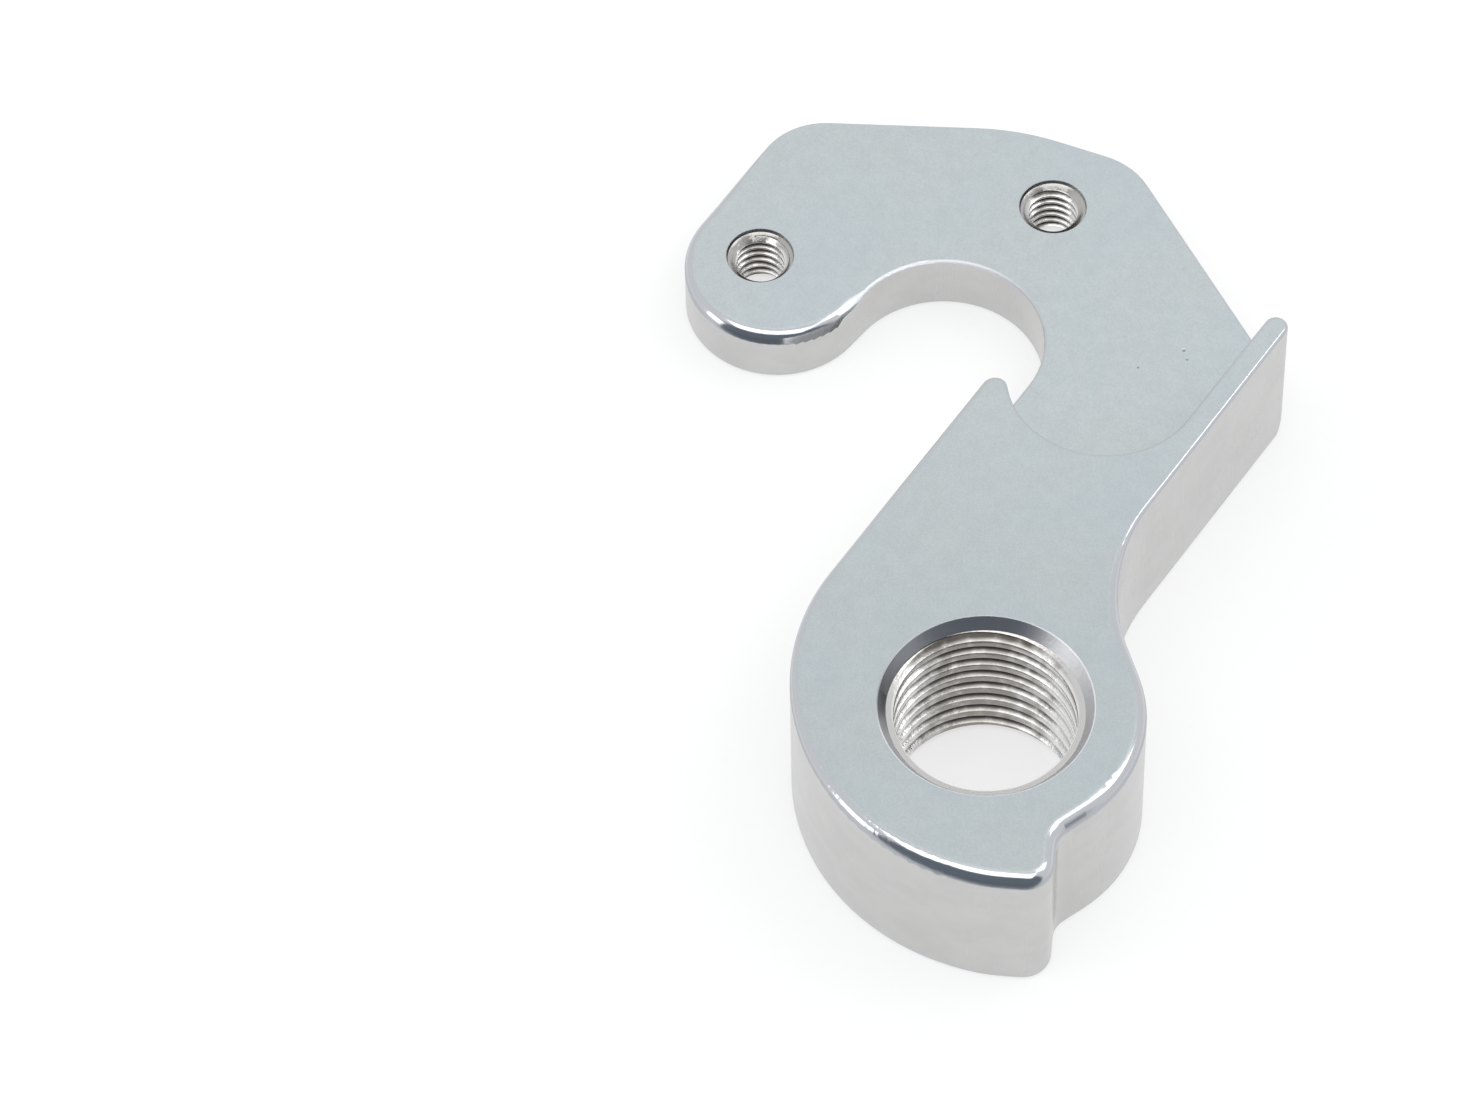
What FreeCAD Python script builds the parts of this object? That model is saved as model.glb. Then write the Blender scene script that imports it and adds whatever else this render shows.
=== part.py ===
import FreeCAD, Part
import math
import os

os.makedirs("parts", exist_ok=True)

# The outboard face lies at height 0, the derailleur thread on the vertical axis,
# the wheel axle seat ahead along the second axis. All sizes in millimetres.

body_height = 8.7
plate_height = 3.5

# Seat of the wheel axle, open to the front

axle_distance = 26.1
axle_seat_radius = 5.1

# Derailleur thread M10x1, bored to the minor diameter

bolt_minor_diameter = 8.92
bolt_rim_diameter = 10.5
bolt_lower_rim_diameter = 10.2
bolt_lower_lead_in = 0.45

# Frame screw threads M3x0.5, bored to the minor diameter, places from the axle

screw_minor_diameter = 2.46
screw_rim_diameter = 3.46
screw_lower_rim_diameter = 3.1
screw_lower_lead_in = 0.32
screw_front = (-9.0, 6.15)
screw_rear = (6.26, 8.23)

# Dropout pocket: its round riser sits this far behind the axle along the arm
# and leaves a fin at the rear and a pointed tip at the front

pocket_setback = 0.75
fin_thickness = 1.2
arm_tip_radius = 0.65
arm_tip_lip = 0.15

# Rounded rims

boss_rim_radius = 0.6
arm_rim_radius = 0.35
pocket_rim_radius = 0.2
tongue_rim_radius = 0.5
plate_rim_radius = 0.15
underside_rim_radius = 0.2

# Rounds of the plan outline: centre x, centre y, radius.
# Those of the boss are placed from the derailleur thread

neck = (16.7, 5.38, 9.78)
boss_rear = (0.33, -0.22, 7.43)
stop_notch = (3.98, -8.23, 1.28)
stop_tab = (1.17, -8.82, 1.4)
boss_bottom = (1.45, -1.35, 8.83)
boss_front = (2.33, 1.42, 11.72)

# Those of the plate are placed from the wheel axle

plate_front = (-5.32, 11.04, 3.65)
plate_top = (1.26, 0.93, 12.92)
plate_rear = (7.54, 7.79, 4.01)
fin_corner = (16.3, -4.17, fin_thickness / 2)

# The tongue ends in a round, a short straight lip past the axle seat

tongue_radius = 4.77
tongue_lip = 1.26
tongue_aim = (-8.15, 5.71)


def from_axle(item):
    return (item[0], item[1] + axle_distance) + item[2:]


def tongue_end():
    reach = math.hypot(axle_seat_radius + tongue_radius, tongue_lip)
    share = reach / math.hypot(tongue_aim[0], tongue_aim[1])
    return (tongue_aim[0] * share, tongue_aim[1] * share, tongue_radius)


def flank_heading(first, second):
    dx = second[0] - first[0]
    dy = second[1] - first[1]
    offset = first[2] * first[3] - second[2] * second[3]
    return math.atan2(dy, dx) - math.asin(offset / math.hypot(dx, dy))


def rim_point(item, heading):
    # Where a flank with this heading touches the round
    reach = item[2] * item[3]
    return FreeCAD.Vector(
        item[0] - reach * math.sin(heading),
        item[1] + reach * math.cos(heading),
        0,
    )


def seat():
    return from_axle((0, 0, axle_seat_radius)) + (-1,)


def corner():
    return from_axle(fin_corner) + (1,)


def pocket_round():
    # As wide as the arm less the fin
    heading = flank_heading(corner(), neck + (-1,))
    wall = rim_point(corner(), heading)
    axle = FreeCAD.Vector(0, axle_distance, 0)
    across = FreeCAD.Vector(-math.sin(heading), math.cos(heading), 0)
    behind = FreeCAD.Vector(math.cos(heading), math.sin(heading), 0)
    arm_width = (wall - axle).dot(across) - axle_seat_radius
    radius = (arm_width - fin_thickness) / 2
    centre = axle + across * (axle_seat_radius + radius) + behind * pocket_setback
    return (centre.x, centre.y, radius, -1)


def arm_tip():
    # Touches the front flank of the arm and ends just short of the riser
    riser = pocket_round()
    heading = flank_heading(boss_front + (1,), seat())
    centre = FreeCAD.Vector(riser[0], riser[1], 0)
    across = FreeCAD.Vector(-math.sin(heading), math.cos(heading), 0)
    ahead = FreeCAD.Vector(math.cos(heading), math.sin(heading), 0)
    inset = (rim_point(seat(), heading) - centre).dot(across) - arm_tip_radius
    reach = math.hypot(riser[2] + arm_tip_radius, arm_tip_lip)
    place = centre + across * inset - ahead * math.sqrt(reach**2 - inset**2)
    return (place.x, place.y, arm_tip_radius, 1)


def lower_rounds():
    # From the fin clockwise round the boss to the arm: +1 marks a convex round,
    # -1 a hollow one, and the flanks are the common tangents of neighbours
    return [
        corner(),
        neck + (-1,),
        boss_rear + (1,),
        stop_notch + (-1,),
        stop_tab + (1,),
        boss_bottom + (1,),
        boss_front + (1,),
    ]


def plate_rounds():
    return lower_rounds() + [
        seat(),
        from_axle(tongue_end()) + (1,),
        from_axle(plate_front) + (1,),
        from_axle(plate_top) + (1,),
        from_axle(plate_rear) + (1,),
    ]


def body_rounds():
    return lower_rounds() + [arm_tip(), pocket_round()]


def outline_prism(rounds, height):
    followers = rounds[1:] + rounds[:1]
    headings = [flank_heading(a, b) for a, b in zip(rounds, followers)]
    edges = []
    for i, item in enumerate(rounds):
        side = item[3]
        turn = -side * (side * (headings[i - 1] - headings[i]) % math.tau)
        start = rim_point(item, headings[i - 1])
        middle = rim_point(item, headings[i - 1] + turn / 2)
        end = rim_point(item, headings[i])
        edges.append(Part.Arc(start, middle, end).toShape())
        edges.append(Part.makeLine(end, rim_point(followers[i], headings[i])))
    return Part.Face(Part.Wire(edges)).extrude(FreeCAD.Vector(0, 0, height))


def rounded_rim(shape, height, radius_at):
    # Rolls a round along the closed rim; its radius fades between the corner points
    document = FreeCAD.newDocument("rim")
    base = document.addObject("Part::Feature", "Base")
    base.Shape = shape
    fillet = document.addObject("Part::Fillet", "Round")
    fillet.Base = base
    sizes = []
    for number, edge in enumerate(shape.Edges, 1):
        box = edge.BoundBox
        if abs(box.ZMin - height) + abs(box.ZMax - height) < 1e-6:
            first = edge.firstVertex(True).Point
            last = edge.lastVertex(True).Point
            sizes.append((number, radius_at(first), radius_at(last)))
    fillet.Edges = sizes
    document.recompute()
    result = fillet.Shape.copy()
    FreeCAD.closeDocument(document.Name)
    return result


def body_rim_at(point):
    # Full on the boss, finer up the arm, finest round the pocket and the fin
    if point.y < boss_rear[2]:
        return boss_rim_radius
    if point.x < arm_tip()[0]:
        return arm_rim_radius
    return pocket_rim_radius


def plate_rim_at(point):
    # Full round the tongue, fading over its lip and its far flank
    x, y, radius = from_axle(tongue_end())
    if abs(math.hypot(point.x - x, point.y - y) - radius) < plate_rim_radius:
        return tongue_rim_radius
    return plate_rim_radius


def underside_rim_at(point):
    return underside_rim_radius


def body():
    return rounded_rim(outline_prism(body_rounds(), body_height), body_height, body_rim_at)


def plate():
    return rounded_rim(outline_prism(plate_rounds(), plate_height), plate_height, plate_rim_at)


def threaded_bore(place, top, minor, rim, lower_rim, lower_lead_in):
    # Bore with a countersink at each end, the upper one at 45 degrees
    run_out = rim
    points = [
        (0, -run_out),
        (lower_rim / 2, -run_out),
        (lower_rim / 2, 0),
        (minor / 2, lower_lead_in),
        (minor / 2, top - (rim - minor) / 2),
        (rim / 2, top),
        (rim / 2, top + run_out),
        (0, top + run_out),
    ]
    ring = [FreeCAD.Vector(x, 0, z) for x, z in points]
    section = Part.Face(Part.makePolygon(ring + ring[:1]))
    turned = section.revolve(FreeCAD.Vector(0, 0, 0), FreeCAD.Vector(0, 0, 1), 360)
    turned.translate(FreeCAD.Vector(place[0], place[1], 0))
    return turned


def bolt_bore():
    return threaded_bore(
        (0, 0),
        body_height,
        bolt_minor_diameter,
        bolt_rim_diameter,
        bolt_lower_rim_diameter,
        bolt_lower_lead_in,
    )


def screw_bore(place):
    return threaded_bore(
        from_axle(place),
        plate_height,
        screw_minor_diameter,
        screw_rim_diameter,
        screw_lower_rim_diameter,
        screw_lower_lead_in,
    )


def hanger():
    shape = body().fuse(plate()).removeSplitter()
    shape = rounded_rim(shape, 0, underside_rim_at)
    for bore in [bolt_bore(), screw_bore(screw_front), screw_bore(screw_rear)]:
        shape = shape.cut(bore)
    return shape.Solids[0]


part = hanger()
part.exportStep("parts/hanger.step")
print("hanger", part.isValid(), round(part.Volume, 1), part.BoundBox)
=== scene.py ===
from math import pi, radians, sqrt, tan

import bmesh
import bpy
from mathutils import Matrix, Vector
from mathutils.kdtree import KDTree


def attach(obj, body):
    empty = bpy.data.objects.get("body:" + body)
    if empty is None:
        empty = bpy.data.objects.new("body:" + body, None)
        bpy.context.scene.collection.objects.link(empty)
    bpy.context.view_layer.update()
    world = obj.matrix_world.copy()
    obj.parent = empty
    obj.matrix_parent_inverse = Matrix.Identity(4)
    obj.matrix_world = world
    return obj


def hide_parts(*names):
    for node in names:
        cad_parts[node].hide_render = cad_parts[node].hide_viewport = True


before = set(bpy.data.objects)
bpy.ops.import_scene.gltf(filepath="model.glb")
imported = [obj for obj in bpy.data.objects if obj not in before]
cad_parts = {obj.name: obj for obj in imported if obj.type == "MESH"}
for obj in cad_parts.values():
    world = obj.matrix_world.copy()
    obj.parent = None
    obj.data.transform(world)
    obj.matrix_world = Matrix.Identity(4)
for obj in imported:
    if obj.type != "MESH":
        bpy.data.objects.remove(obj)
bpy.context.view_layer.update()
mm = 0.001


# ---- threads: a tap and a stepped mouth for each hole, cut out of the bored part

boltThread = {
    "places": [(0.0, 0.0)],
    "lifts": [0.18],
    "top": 8.7,
    "minorRadius": 4.47,
    "majorRadius": 4.88,
    "pitch": 1.0,
    "rootFlat": 0.10,
    "crestBreak": 0.04,
    "stepsPerTurn": 120,
    "mouth": [(4.475, 7.92), (4.83, 8.07), (5.25, 8.675), (5.31, 8.7)],
    "ledge": 1,
    "ledgeTone": 1.0,
}
screwThread = {
    "places": [(-9.0, 32.25), (6.26, 34.33)],
    "lifts": [0.354, 0.11],
    "top": 3.5,
    "minorRadius": 1.236,
    "majorRadius": 1.52,
    "pitch": 0.5,
    "rootFlat": 0.06,
    "crestBreak": 0.025,
    "stepsPerTurn": 72,
    "mouth": [(1.245, 3.005), (1.43, 3.11), (1.53, 3.22), (1.68, 3.3), (1.735, 3.485), (1.76, 3.5)],
    "ledge": 3,
    "ledgeTone": 0.74,
}


def threadProfile(settings):
    # one pitch of the wall, from crest to crest: (radius, height)
    pitch = settings["pitch"]
    minor, major = settings["minorRadius"], settings["majorRadius"]
    root = settings["rootFlat"] / 2
    soft = settings["crestBreak"]
    flank = (major - minor) * tan(radians(30))
    foot = root + flank
    return [
        (minor, -pitch / 2),
        (minor, -foot - soft),
        (minor + soft * 0.5, -foot + soft * 0.1),
        (major - soft * 0.4, -root - soft * 0.4),
        (major, 0.0),
        (major - soft * 0.4, root + soft * 0.4),
        (minor + soft * 0.5, foot - soft * 0.1),
        (minor, foot + soft),
        (minor, pitch / 2),
    ]


def makeTap(name, settings, place, lift):
    pitch = settings["pitch"]
    turns = int(settings["top"] / pitch) + 4
    steps = settings["stepsPerTurn"]
    bm = bmesh.new()
    points = [bm.verts.new((r * mm, 0, z * mm)) for r, z in threadProfile(settings)]
    edges = [bm.edges.new(pair) for pair in zip(points, points[1:])]
    bmesh.ops.spin(
        bm,
        geom=points + edges,
        cent=(0, 0, 0),
        axis=(0, 0, 1),
        dvec=(0, 0, pitch * mm / steps),
        angle=2 * pi * turns,
        steps=steps * turns,
        use_merge=False,
    )
    bmesh.ops.remove_doubles(bm, verts=bm.verts, dist=0.0005 * mm)
    rims = [edge for edge in bm.edges if edge.is_boundary]
    lowRim = [edge for edge in rims if edge.verts[0].co.z < turns * pitch * mm / 2]
    highRim = [edge for edge in rims if edge not in lowRim]
    for rim, height in ((lowRim, -pitch), (highRim, (turns + 1) * pitch)):
        made = bmesh.ops.extrude_edge_only(bm, edges=rim)["geom"]
        ends = [item for item in made if isinstance(item, bmesh.types.BMVert)]
        for vert in ends:
            vert.co.z = height * mm
        bmesh.ops.contextual_create(
            bm, geom=[item for item in made if isinstance(item, bmesh.types.BMEdge)]
        )
    bottom = (lift - 2.5 * pitch) * mm
    bmesh.ops.translate(bm, verts=bm.verts, vec=(place[0] * mm, place[1] * mm, bottom))
    return toolFrom(bm, name)


def makeMouth(name, settings, place):
    # the turned profile above the thread, from the axis out and back
    mouth = settings["mouth"]
    low, high = mouth[0][1] - 0.3, settings["top"] + 1.0
    outline = [(0, low), (mouth[0][0] - 0.2, low)] + mouth + [(mouth[-1][0], high), (0, high)]
    bm = bmesh.new()
    points = [bm.verts.new((r * mm, 0, z * mm)) for r, z in outline]
    edges = [bm.edges.new(pair) for pair in zip(points, points[1:])]
    bmesh.ops.spin(
        bm,
        geom=points + edges,
        cent=(0, 0, 0),
        axis=(0, 0, 1),
        angle=2 * pi,
        steps=settings["stepsPerTurn"],
        use_merge=True,
    )
    bmesh.ops.remove_doubles(bm, verts=bm.verts, dist=0.0005 * mm)
    bmesh.ops.translate(bm, verts=bm.verts, vec=(place[0] * mm, place[1] * mm, 0))
    return toolFrom(bm, name)


def toolFrom(bm, name):
    bmesh.ops.recalc_face_normals(bm, faces=bm.faces)
    if bm.calc_volume(signed=True) < 0:
        bmesh.ops.reverse_faces(bm, faces=bm.faces)
    mesh = bpy.data.meshes.new(name)
    bm.to_mesh(mesh)
    bm.free()
    tool = bpy.data.objects.new(name, mesh)
    bpy.context.collection.objects.link(tool)
    return tool


def makeTools():
    tools = []
    for name, settings in (("bolt", boltThread), ("screw", screwThread)):
        for index, place in enumerate(settings["places"]):
            tools.append(makeMouth(f"{name}Mouth{index}", settings, place))
            tools.append(makeTap(f"{name}Tap{index}", settings, place, settings["lifts"][index]))
    return tools


# the fin's lower corner is worn round
finCorner = {
    "end": 16.9,
    "height": 2.0,
    "inset": 0.45,
    "steps": 10,
    "across": (19.5, 24.5),
}


def makeCornerTool():
    height, inset, steps = finCorner["height"], finCorner["inset"], finCorner["steps"]
    profile = []
    for step in range(steps + 1):
        z = height * step / steps
        gone = inset * (1 - sqrt(1 - (1 - z / height) ** 2))
        profile.append((finCorner["end"] + 0.01 - gone, z))
    profile += [(finCorner["end"] + 0.8, height), (finCorner["end"] + 0.8, -0.5), (profile[0][0], -0.5)]
    near, far = finCorner["across"]
    bm = bmesh.new()
    outline = bm.faces.new([bm.verts.new((x * mm, near * mm, z * mm)) for x, z in profile])
    made = bmesh.ops.extrude_face_region(bm, geom=[outline])["geom"]
    moved = [item for item in made if isinstance(item, bmesh.types.BMVert)]
    bmesh.ops.translate(bm, verts=moved, vec=(0, (far - near) * mm, 0))
    return toolFrom(bm, "cornerTool")


def cutAway(piece, tools):
    for tool in tools:
        cut = piece.modifiers.new(tool.name, "BOOLEAN")
        cut.operation = "DIFFERENCE"
        cut.solver = "EXACT"
        cut.object = tool
    graph = bpy.context.evaluated_depsgraph_get()
    mesh = bpy.data.meshes.new_from_object(piece.evaluated_get(graph))
    piece.modifiers.clear()
    piece.data = mesh
    for tool in tools:
        bpy.data.objects.remove(tool)


# ---- the hanger's own mesh

hangerPiece = {
    "mergeDistance": 0.002,
    "sliver": 0.0004,
    "sharpAngle": 30,
    "mouthAngle": 12,
    "agreement": 0.6,
    "rimHeight": 0.7,
    "deepRims": [
        # face height, how much deeper, full below this y, none above this y, only left of this x
        (8.7, 0.35, -8.0, -2.0, 20.0),
        (3.5, 0.45, 29.6, 32.4, -5.0),
    ],
}


def inHole(point, spare):
    for settings in (boltThread, screwThread):
        for place in settings["places"]:
            if (point.xy / mm - Vector(place)).length < settings["mouth"][-1][0] + spare:
                return True
    return False


def holeOf(face):
    # 0 for the skin, 1 for the bolt's bore, 2 and 3 for the screws' bores
    number = 0
    for settings in (boltThread, screwThread):
        for place in settings["places"]:
            number += 1
            far = (face.center.xy / mm - Vector(place)).length
            if far < settings["mouth"][-1][0] and abs(face.normal.z) < 0.985:
                return number
    return 0


def rimDrop(point, normal):
    # the wide rims run further down the wall than across the face
    if not 0 <= normal.z < 0.996 or inHole(point, 0.1):
        return 0.0
    x, y, z = point / mm
    for top, deeper, full, none, rightEnd in hangerPiece["deepRims"]:
        if 0 <= top - z + 0.001 < hangerPiece["rimHeight"] and x < rightEnd and y < none:
            share = min(1.0, (none - y) / (none - full))
            return deeper * mm * share * share * (3 - 2 * share) * (1 - normal.z)
    return 0.0


def copyHanger():
    # the moved mesh, and where each of its corners points on the smooth surfaces
    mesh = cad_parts["hanger"].data.copy()
    mesh.name = "machinedHanger"
    normals = [corner.vector.copy() for corner in mesh.corner_normals]
    drops = {}
    for loop, normal in zip(mesh.loops, normals):
        point = mesh.vertices[loop.vertex_index].co
        drops.setdefault(placeKey(point), []).append(rimDrop(point, normal))
    for vertex in mesh.vertices:
        vertex.co.z -= max(drops[placeKey(vertex.co)])
    corners = KDTree(len(normals))
    for loop in mesh.loops:
        corners.insert(mesh.vertices[loop.vertex_index].co, loop.index)
    corners.balance()
    bm = bmesh.new()
    bm.from_mesh(mesh)
    bmesh.ops.remove_doubles(bm, verts=bm.verts, dist=hangerPiece["mergeDistance"] * mm)
    bm.to_mesh(mesh)
    bm.free()
    piece = bpy.data.objects.new("machinedHanger", mesh)
    bpy.context.collection.objects.link(piece)
    return piece, corners, normals


def placeKey(point):
    return tuple(round(value / mm, 3) for value in point)


def softenHanger(piece, corners, normals):
    bm = bmesh.new()
    bm.from_mesh(piece.data)
    bmesh.ops.remove_doubles(bm, verts=bm.verts, dist=hangerPiece["sliver"] * mm)
    for face in bm.faces:
        face.smooth = True
    for edge in bm.edges:
        turn = edge.calc_face_angle(0) if edge.is_manifold else 0
        flat = max([abs(face.normal.z) for face in edge.link_faces], default=0) > 0.999
        limit = hangerPiece["mouthAngle"] if flat and inHole(edge.verts[0].co, 0.05) else hangerPiece["sharpAngle"]
        edge.smooth = turn < radians(limit)
    bm.to_mesh(piece.data)
    bm.free()

    # outside the holes the corners keep the directions they had on the part
    mesh = piece.data
    smooth = [corner.vector.copy() for corner in mesh.corner_normals]
    for face in mesh.polygons:
        if holeOf(face):
            continue
        for index in face.loop_indices:
            point = mesh.vertices[mesh.loops[index].vertex_index].co
            found = corners.find_range(point, 2 * hangerPiece["mergeDistance"] * mm)
            near = [normals[place] for _, place, _ in found]
            near = [normal for normal in near if normal.dot(face.normal) > hangerPiece["agreement"]]
            if near:
                smooth[index] = max(near, key=face.normal.dot)
            elif abs(face.normal.y) > 0.02:
                smooth[index] = face.normal.copy()
    mesh.normals_split_custom_set(smooth)


hanger, corners, normals = copyHanger()
print("hanger copied:", len(hanger.data.polygons), "faces")
cutAway(hanger, makeTools() + [makeCornerTool()])
softenHanger(hanger, corners, normals)
print("threads cut:", len(hanger.data.polygons), "faces")
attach(hanger, "root")
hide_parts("hanger")


# ---- finishes

blastedFace = {
    "colour": (0.555, 0.612, 0.635),
    "warmColour": (0.57, 0.612, 0.625),
    "bossShade": 0.915,
    "roughness": 0.40,
    "grainPerMm": 11.0,
    "grainBump": 0.22,
    "grainTone": 0.055,
    "mottlePerMm": 1.1,
    "mottleTone": 0.02,
    "cloudPerMm": 0.16,
}
milledWall = {
    "colour": (0.568, 0.566, 0.56),
    "roughness": 0.27,
    "marksPerMm": 0.6,
    "markBump": 0.004,
    "grainBump": 0.05,
    "smearPerMm": 0.45,
    "smearTone": 0.024,
}
burnishedRim = {
    "colour": (0.56, 0.575, 0.60),
    # painted dark reflection where the rims are steep
    "flankReflectionColour": (0.45, 0.465, 0.49),
    # painted shade on the rims that face down
    "lowerShadeColour": (0.36, 0.37, 0.39),
    "roughness": 0.135,
    "ripplePerMm": 1.3,
    "rippleBump": 0.08,
    "finStart": (6.5, 9.0),
    "finRipple": 1.5,
    "finRoughness": 0.17,
    "seat": (0.0, 26.1, 3.5),
    "seatReach": (5.5, 5.8),
    "seatRoughness": 0.38,
}
cutThread = {
    "colour": (0.86, 0.855, 0.85),
    "farCrestColour": (0.31, 0.288, 0.264),
    "farFlankColour": (0.38, 0.365, 0.345),
    # painted shade in the thread roots
    "grooveShadeColour": (0.07, 0.063, 0.057),
    "ledgeColour": (0.62, 0.61, 0.60),
    "farLedgeColour": (0.45, 0.435, 0.41),
    "mouthColour": (0.80, 0.80, 0.81),
    # painted shade on the far side of the mouth
    "farMouthColour": (0.31, 0.32, 0.34),
    "roughness": 0.20,
    "chatterPerMm": 5.0,
    "chatterBump": 0.35,
}
pits = {
    "places": [
        (12.10, 24.59, 3.5, 0.19),
        (12.20, 24.01, 3.5, 0.15),
        (9.67, 23.68, 3.5, 0.13),
        (-8.19, -3.05, 8.7, 0.10),
    ],
    "colour": (0.35, 0.36, 0.38),
}


def newMaterial(name):
    material = bpy.data.materials.new(name)
    material.use_nodes = True
    tree = material.node_tree
    return material, tree, tree.nodes["Principled BSDF"]


def put(tree, kind, settings=None, **links):
    # a node with its settings; each link is socket=value or socket=another socket
    node = tree.nodes.new("ShaderNode" + kind)
    for name, value in (settings or {}).items():
        setattr(node, name, value)
    for name, value in links.items():
        socket = node.inputs[int(name[1:])] if name[0] == "_" else node.inputs[name]
        if isinstance(value, bpy.types.NodeSocket):
            tree.links.new(value, socket)
        else:
            socket.default_value = value
    return node


def spread(tree, value, low, high, toLow=0.0, toHigh=1.0):
    # a soft step of the value between low and high
    node = put(tree, "MapRange", {"interpolation_type": "SMOOTHSTEP"}, Value=value)
    node.inputs["From Min"].default_value = low
    node.inputs["From Max"].default_value = high
    node.inputs["To Min"].default_value = toLow
    node.inputs["To Max"].default_value = toHigh
    return node.outputs["Result"]


def maths(tree, operation, first, second=0.0):
    return put(tree, "Math", {"operation": operation}, _0=first, _1=second).outputs[0]


def blendColour(tree, share, first, second):
    node = put(tree, "Mix", {"data_type": "RGBA"}, _0=share)
    for index, value in ((6, first), (7, second)):
        if isinstance(value, bpy.types.NodeSocket):
            tree.links.new(value, node.inputs[index])
        else:
            node.inputs[index].default_value = tuple(value) + (1,)
    return node.outputs[2]


def blendValue(tree, share, first, second):
    return put(tree, "Mix", {"data_type": "FLOAT"}, _0=share, _2=first, _3=second).outputs[0]


def inMillimetres(tree, stretch=(1.0, 1.0, 1.0)):
    spot = put(tree, "TexCoord").outputs["Object"]
    scale = tuple(1000 * value for value in stretch)
    return put(tree, "Mapping", None, Vector=spot, Scale=scale).outputs[0]


def noise(tree, vector, scale, detail=2.0, roughness=0.5):
    node = put(tree, "TexNoise", None, Vector=vector, Scale=scale, Detail=detail)
    node.inputs["Roughness"].default_value = roughness
    return node.outputs[0]


def pitMask(tree, spot):
    mask = None
    for x, y, z, width in pits["places"]:
        far = put(tree, "VectorMath", {"operation": "DISTANCE"}, _0=spot, _1=(x, y, z)).outputs["Value"]
        one = spread(tree, far, width * 0.25, width * 0.6, 1.0, 0.0)
        mask = one if mask is None else maths(tree, "MAXIMUM", mask, one)
    return mask


def anodisedSkin():
    material, tree, shader = newMaterial("anodisedSkin")
    spot = inMillimetres(tree)
    facing = put(tree, "SeparateXYZ", None, _0=put(tree, "TexCoord").outputs["Normal"]).outputs[2]
    lie = maths(tree, "ABSOLUTE", facing)
    flat = spread(tree, lie, 0.95, 0.998)
    upright = spread(tree, lie, 0.05, 0.22, 1.0, 0.0)

    cloud = spread(tree, noise(tree, spot, blastedFace["cloudPerMm"], 3.0), 0.35, 0.65)
    grain = noise(tree, spot, blastedFace["grainPerMm"], 2.0, 0.6)
    marks = noise(tree, inMillimetres(tree, (1, 1, 0.04)), milledWall["marksPerMm"], 3.0, 0.6)
    ripple = noise(tree, spot, burnishedRim["ripplePerMm"], 3.0, 0.6)
    pitted = pitMask(tree, spot)

    face = blendColour(tree, cloud, blastedFace["colour"], blastedFace["warmColour"])
    along = put(tree, "SeparateXYZ", None, _0=spot).outputs[1]
    shade = spread(tree, along, 0.0, 24.0, blastedFace["bossShade"], 1.0)
    speckle = spread(tree, grain, 0.3, 0.7, 1 - blastedFace["grainTone"], 1 + blastedFace["grainTone"] * 0.7)
    mottle = noise(tree, spot, blastedFace["mottlePerMm"], 3.0, 0.6)
    mottle = spread(tree, mottle, 0.3, 0.7, 1 - blastedFace["mottleTone"], 1 + blastedFace["mottleTone"])
    speck = maths(tree, "MULTIPLY", maths(tree, "MULTIPLY", speckle, mottle), shade)
    face = put(tree, "VectorMath", {"operation": "SCALE"}, Vector=face, Scale=speck).outputs[0]
    face = blendColour(tree, pitted, face, pits["colour"])
    smear = noise(tree, inMillimetres(tree, (1, 1, 1.6)), milledWall["smearPerMm"], 4.0, 0.6)
    streak = spread(tree, smear, 0.35, 0.65, 1 - milledWall["smearTone"], 1 + milledWall["smearTone"])
    streak = maths(tree, "MULTIPLY", streak, spread(tree, marks, 0.3, 0.7, 0.997, 1.002))
    wall = put(tree, "VectorMath", {"operation": "SCALE"}, _0=milledWall["colour"], Scale=streak).outputs[0]
    # painted shade: the rims that face down towards the floor are darker
    downwardShade = spread(tree, facing, -0.12, -0.45)
    # painted dark reflection: the rims darken where they are steep, between the face and the wall
    flank = maths(tree, "MULTIPLY", spread(tree, lie, 0.62, 0.40), spread(tree, lie, 0.06, 0.2))
    rim = blendColour(tree, flank, burnishedRim["colour"], burnishedRim["flankReflectionColour"])
    rim = blendColour(tree, downwardShade, rim, burnishedRim["lowerShadeColour"])
    colour = blendColour(tree, flat, rim, face)
    colour = blendColour(tree, upright, colour, wall)
    tree.links.new(colour, shader.inputs["Base Color"])

    seatRim = seatMask(tree, spot)
    finRim = finMask(tree, spot)
    rimRough = blendValue(tree, finRim, burnishedRim["roughness"], burnishedRim["finRoughness"])
    rimRough = blendValue(tree, seatRim, rimRough, burnishedRim["seatRoughness"])
    rough = blendValue(tree, flat, rimRough, blastedFace["roughness"])
    wallRough = spread(tree, marks, 0.25, 0.75, milledWall["roughness"] - 0.008, milledWall["roughness"] + 0.01)
    rough = blendValue(tree, upright, rough, wallRough)
    tree.links.new(rough, shader.inputs["Roughness"])

    grainShare = blendValue(tree, upright, maths(tree, "MULTIPLY", flat, blastedFace["grainBump"]), milledWall["grainBump"])
    grainHeight = maths(tree, "MULTIPLY", grain, grainShare)
    markHeight = maths(tree, "MULTIPLY", maths(tree, "MULTIPLY", marks, upright), milledWall["markBump"])
    bare = maths(tree, "SUBTRACT", 1.0, flat)
    rippleShare = blendValue(tree, finRim, burnishedRim["rippleBump"], burnishedRim["finRipple"])
    rippleHeight = maths(tree, "MULTIPLY", maths(tree, "MULTIPLY", ripple, bare), rippleShare)
    height = maths(tree, "ADD", maths(tree, "ADD", grainHeight, markHeight), rippleHeight)
    height = maths(tree, "SUBTRACT", height, maths(tree, "MULTIPLY", pitted, 1.5))
    bump = put(tree, "Bump", None, Strength=1.0, Distance=0.02 * mm, Height=height)
    tree.links.new(rubbedNormal(tree, seatRim), bump.inputs["Normal"])
    tree.links.new(bump.outputs[0], shader.inputs["Normal"])
    shader.inputs["Metallic"].default_value = 1
    return material


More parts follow.
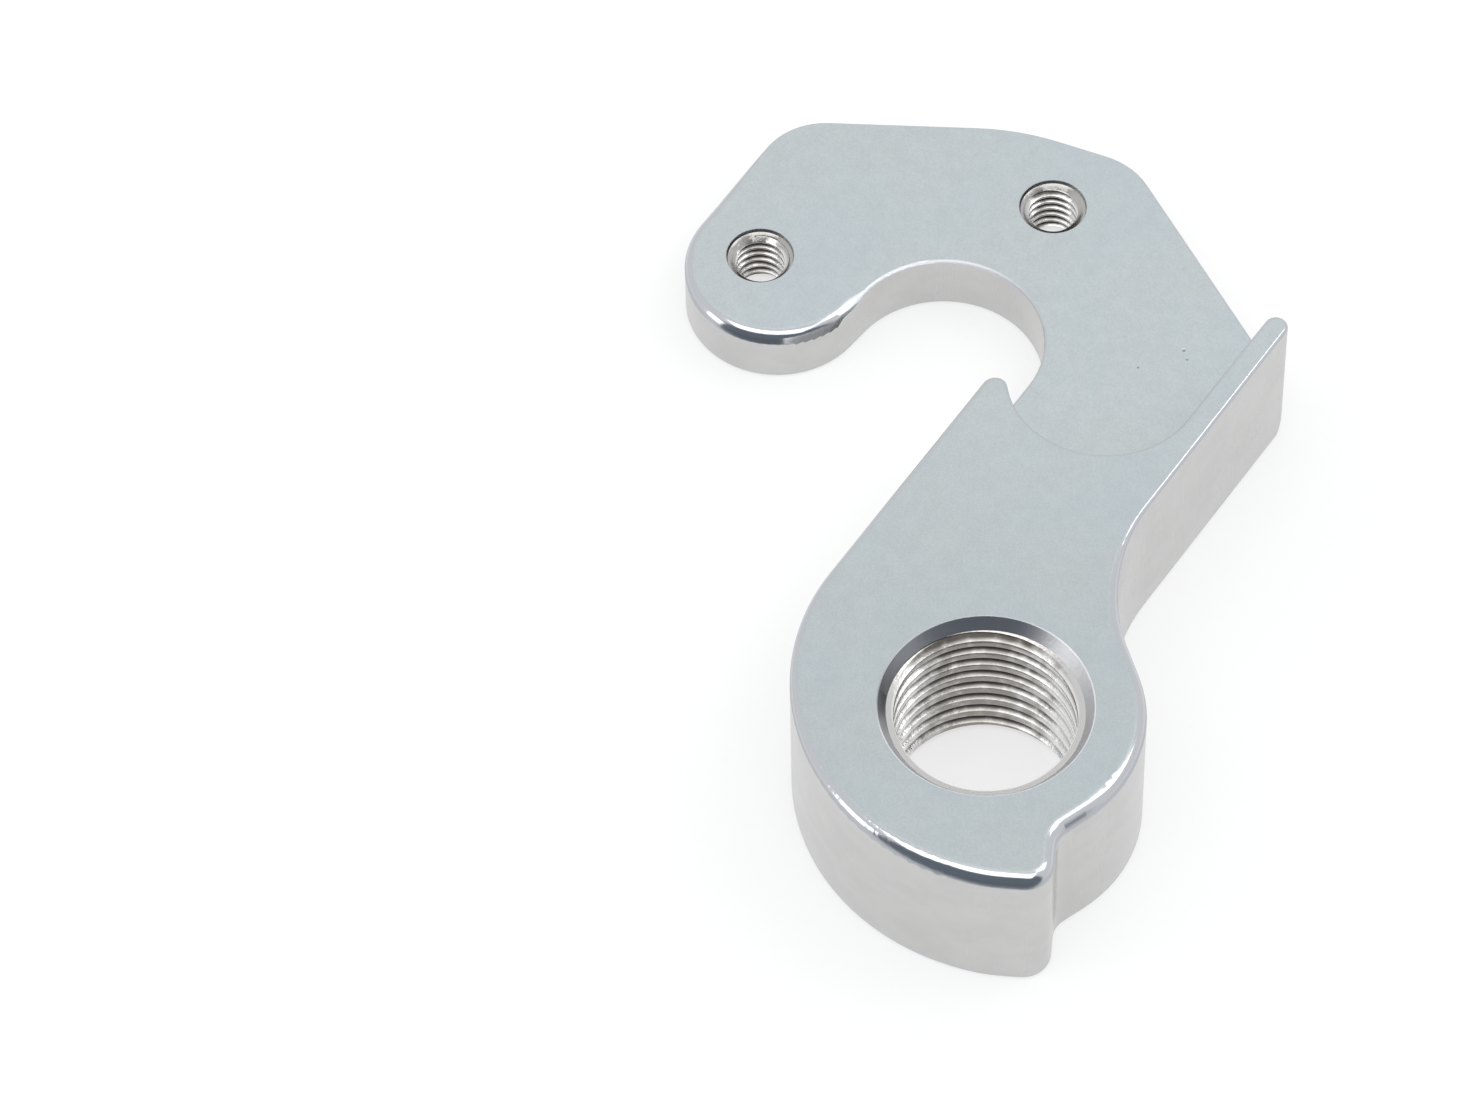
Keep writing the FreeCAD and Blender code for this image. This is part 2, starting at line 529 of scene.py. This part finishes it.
def finMask(tree, spot):
    # the fin's edge is rubbed by hand, so its light runs in beads
    parts = put(tree, "SeparateXYZ", None, _0=spot)
    x, y = burnishedRim["finStart"]
    share = maths(tree, "MULTIPLY", spread(tree, parts.outputs[0], x, x + 1), spread(tree, parts.outputs[1], y, y + 2))
    share = maths(tree, "MULTIPLY", share, spread(tree, parts.outputs[2], 8.2, 8.4))
    outward = put(tree, "SeparateXYZ", None, _0=put(tree, "TexCoord").outputs["Normal"]).outputs[0]
    return maths(tree, "MULTIPLY", share, spread(tree, outward, 0.05, 0.2))


def seatMask(tree, spot):
    seat, reach = burnishedRim["seat"], burnishedRim["seatReach"]
    level = put(tree, "VectorMath", {"operation": "MULTIPLY"}, _0=spot, _1=(1, 1, 0)).outputs[0]
    far = put(tree, "VectorMath", {"operation": "DISTANCE"}, _0=level, _1=(seat[0], seat[1], 0)).outputs["Value"]
    upper = spread(tree, put(tree, "SeparateXYZ", None, _0=spot).outputs[2], seat[2] - 0.4, seat[2] - 0.2)
    return maths(tree, "MULTIPLY", spread(tree, far, reach[0], reach[1], 1.0, 0.0), upper)


def rubbedNormal(tree, seatRim):
    # polishing leaves the rims fuller than a round: the shading leans up before it meets the wall
    normal = put(tree, "NewGeometry").outputs["Normal"]
    parts = put(tree, "SeparateXYZ", None, _0=normal)
    up = parts.outputs[2]
    full = maths(tree, "MAXIMUM", maths(tree, "ADD", maths(tree, "MULTIPLY", up, 0.15), 0.45), up)
    lean = maths(tree, "MINIMUM", maths(tree, "MULTIPLY", up, 3.5), full)
    almostFlat = maths(tree, "MINIMUM", maths(tree, "MULTIPLY", up, 12.0), maths(tree, "MAXIMUM", up, 0.93))
    lean = blendValue(tree, seatRim, lean, almostFlat)
    level = put(tree, "CombineXYZ", None, _0=parts.outputs[0], _1=parts.outputs[1]).outputs[0]
    level = put(tree, "VectorMath", {"operation": "NORMALIZE"}, _0=level).outputs[0]
    rest = maths(tree, "SUBTRACT", 1.0, maths(tree, "MULTIPLY", lean, lean))
    rest = maths(tree, "SQRT", maths(tree, "MAXIMUM", rest, 0.0))
    level = put(tree, "VectorMath", {"operation": "SCALE"}, Vector=level, Scale=rest).outputs[0]
    rise = put(tree, "CombineXYZ", None, _2=lean).outputs[0]
    leaned = put(tree, "VectorMath", {"operation": "ADD"}, _0=level, _1=rise).outputs[0]
    upper = spread(tree, up, 0.0, 0.02)
    mixed = put(tree, "Mix", {"data_type": "VECTOR"}, _0=upper, _4=normal, _5=leaned).outputs[1]
    return put(tree, "VectorMath", {"operation": "NORMALIZE"}, _0=mixed).outputs[0]


def threadFinish(name, settings, centre):
    material, tree, shader = newMaterial(name)
    spot = inMillimetres(tree)
    shifted = put(tree, "VectorMath", {"operation": "SUBTRACT"}, _0=spot, _1=centre + (0,)).outputs[0]
    parts = put(tree, "SeparateXYZ", None, _0=shifted)
    level = put(tree, "CombineXYZ", None, _0=parts.outputs[0], _1=parts.outputs[1]).outputs[0]
    radius = put(tree, "VectorMath", {"operation": "LENGTH"}, _0=level).outputs["Value"]
    smear = noise(tree, spot, 1.4, 3.0)
    minor, major = settings["minorRadius"], settings["majorRadius"]

    # painted shade lies in the grooves, and the bore is darker and browner on the side towards the wheel axle
    loose = maths(tree, "SUBTRACT", smear, 0.5)
    side = maths(tree, "DIVIDE", parts.outputs[1], major)
    side = maths(tree, "ADD", side, maths(tree, "MULTIPLY", loose, 0.7))
    towardsAxle = spread(tree, side, 0.42, 0.95)
    depth = maths(tree, "ADD", radius, maths(tree, "MULTIPLY", loose, 0.08))
    groove = spread(tree, depth, minor - 0.02, minor + 0.6 * (major - minor))
    groove = maths(tree, "MULTIPLY", groove, blendValue(tree, towardsAxle, 0.38, 1.0))
    lie = put(tree, "SeparateXYZ", None, _0=put(tree, "TexCoord").outputs["Normal"]).outputs[2]
    upright = spread(tree, maths(tree, "ABSOLUTE", lie), 0.15, 0.5, 1.0, 0.0)
    crest = blendColour(tree, towardsAxle, cutThread["colour"], cutThread["farCrestColour"])
    flank = blendColour(tree, towardsAxle, cutThread["colour"], cutThread["farFlankColour"])
    # painted shade in the thread roots, strongest on the side towards the wheel axle
    flank = blendColour(tree, groove, flank, cutThread["grooveShadeColour"])

    height = parts.outputs[2]
    ledge = settings["mouth"][settings["ledge"]][1]
    inMouth = spread(tree, height, ledge - 0.02, ledge + 0.03)
    threadEnd = settings["mouth"][0][1]
    aboveThread = spread(tree, height, threadEnd, threadEnd + 0.03)
    groove = maths(tree, "MULTIPLY", groove, maths(tree, "SUBTRACT", 1.0, aboveThread))

    colour = blendColour(tree, upright, flank, crest)
    ledgeColour = blendColour(tree, towardsAxle, cutThread["ledgeColour"], cutThread["farLedgeColour"])
    away = put(tree, "VectorMath", {"operation": "DOT_PRODUCT"}, _0=level, _1=(-0.45, 0.9, 0)).outputs["Value"]
    # painted shade: the mouth's cone is darker on its far side and lighter towards the near side
    shadedMouthSide = spread(tree, maths(tree, "DIVIDE", away, major), 0.15, 0.75)
    mouthColour = blendColour(tree, shadedMouthSide, cutThread["mouthColour"], cutThread["farMouthColour"])
    ledgeColour = blendColour(tree, inMouth, ledgeColour, mouthColour)
    ledgeColour = put(tree, "VectorMath", {"operation": "SCALE"}, Vector=ledgeColour, Scale=settings["ledgeTone"])
    colour = blendColour(tree, aboveThread, colour, ledgeColour.outputs[0])
    tree.links.new(colour, shader.inputs["Base Color"])
    rough = blendValue(tree, groove, cutThread["roughness"], 0.36)
    rough = blendValue(tree, inMouth, rough, blendValue(tree, shadedMouthSide, 0.52, 0.36))
    tree.links.new(rough, shader.inputs["Roughness"])
    chatter = noise(tree, spot, cutThread["chatterPerMm"], 3.0, 0.6)
    bump = put(tree, "Bump", None, Strength=cutThread["chatterBump"], Distance=0.04 * mm, Height=chatter)
    tree.links.new(bump.outputs[0], shader.inputs["Normal"])
    shader.inputs["Metallic"].default_value = 1
    return material


def dressHanger(piece):
    piece.data.materials.clear()
    piece.data.materials.append(anodisedSkin())
    for name, settings in (("bolt", boltThread), ("screw", screwThread)):
        for index, place in enumerate(settings["places"]):
            piece.data.materials.append(threadFinish(f"{name}ThreadFinish{index}", settings, place))
    for face in piece.data.polygons:
        face.material_index = holeOf(face)


dressHanger(hanger)
print("finishes on")


# ---- floor, light and camera

studio = {
    "floorSize": 4.0,
    "floorGap": 0.02,
    "floorColour": (0.94, 0.94, 0.94),
    "floorGlow": 0.66,
    "domeStrength": 0.93,
    "domeColour": (0.985, 0.995, 1.0),
    "darkColour": (0.19, 0.22, 0.26),
    "darkAim": (-0.12, -0.98, 0.05),
    "darkEdge": (0.36, 0.56),
}
softBoxes = [
    # name, where it stands, width, depth, radiance
    ("overheadBox", (-0.06, -0.20, 0.52), 0.62, 0.32, 2.0),
    ("leftBox", (-0.58, -0.14, 0.17), 0.20, 0.30, 1.9),
    ("rightBox", (0.31, 0.05, 0.46), 0.22, 0.30, 1.9),
]
photoView = {
    "aim": (-11.386, 16.271),
    "distance": 374.51,
    "azimuth": -2.106,
    "elevation": 54.4025,
    "roll": -1.613,
    "pixelsFocal": 7419.3,
    "pixelsWide": 1467,
}


def makeFloor():
    bm = bmesh.new()
    bmesh.ops.create_grid(bm, x_segments=1, y_segments=1, size=studio["floorSize"] / 2)
    bmesh.ops.translate(bm, verts=bm.verts, vec=(0, 0, -studio["floorGap"] * mm))
    mesh = bpy.data.meshes.new("paleFloor")
    bm.to_mesh(mesh)
    bm.free()
    floor = bpy.data.objects.new("paleFloor", mesh)
    bpy.context.collection.objects.link(floor)
    material, tree, shader = newMaterial("paleFloor")
    shader.inputs["Base Color"].default_value = studio["floorColour"] + (1,)
    shader.inputs["Roughness"].default_value = 0.95
    shader.inputs["Specular IOR Level"].default_value = 0.0
    ray = put(tree, "LightPath")
    seen = maths(tree, "MAXIMUM", ray.outputs["Is Camera Ray"], ray.outputs["Is Glossy Ray"])
    seen = maths(tree, "MAXIMUM", seen, ray.outputs["Is Transmission Ray"])
    share = maths(tree, "MULTIPLY", seen, studio["floorGlow"])
    glow = put(tree, "Emission", None, Color=(1, 1, 1, 1), Strength=1.0)
    mixed = put(tree, "MixShader", None, _0=share, _1=shader.outputs[0], _2=glow.outputs[0])
    tree.links.new(mixed.outputs[0], tree.nodes["Material Output"].inputs["Surface"])
    floor.data.materials.append(material)


def makeDome():
    world = bpy.data.worlds.new("softDome")
    bpy.context.scene.world = world
    world.use_nodes = True
    tree = world.node_tree
    backdrop = tree.nodes["Background"]
    backdrop.inputs["Strength"].default_value = studio["domeStrength"]
    heading = put(tree, "TexCoord").outputs["Generated"]
    aim = Vector(studio["darkAim"]).normalized()
    near = put(tree, "VectorMath", {"operation": "DOT_PRODUCT"}, _0=heading, _1=tuple(aim)).outputs["Value"]
    dark = spread(tree, near, *studio["darkEdge"])
    colour = blendColour(tree, dark, studio["domeColour"], studio["darkColour"])
    tree.links.new(colour, backdrop.inputs["Color"])
    bpy.context.scene.view_settings.view_transform = "Standard"


def makeSoftBox(name, place, width, depth, radiance):
    data = bpy.data.lights.new(name, "AREA")
    data.shape = "RECTANGLE"
    data.size = width
    data.size_y = depth
    data.energy = radiance * pi * width * depth
    lamp = bpy.data.objects.new(name, data)
    bpy.context.collection.objects.link(lamp)
    lamp.location = place
    toObject = Vector((0, 0.012, 0)) - Vector(place)
    lamp.rotation_euler = toObject.to_track_quat("-Z", "Y").to_euler()


def makeCamera():
    data = bpy.data.cameras.new("photoCamera")
    data.sensor_width = 36
    data.lens = photoView["pixelsFocal"] / photoView["pixelsWide"] * data.sensor_width
    data.clip_start = 0.01
    camera = bpy.data.objects.new("photoCamera", data)
    bpy.context.collection.objects.link(camera)
    turn = Matrix.Rotation(radians(photoView["azimuth"]), 4, "Z")
    tilt = Matrix.Rotation(radians(90 - photoView["elevation"]), 4, "X")
    roll = Matrix.Rotation(radians(photoView["roll"]), 4, "Z")
    back = turn @ tilt @ Vector((0, 0, photoView["distance"] * mm))
    aim = Vector((photoView["aim"][0] * mm, photoView["aim"][1] * mm, 0))
    camera.matrix_world = Matrix.Translation(aim + back) @ turn @ tilt @ roll
    bpy.context.scene.camera = camera


makeFloor()
makeDome()
for box in softBoxes:
    makeSoftBox(*box)
makeCamera()
print("floor, light and camera ready")
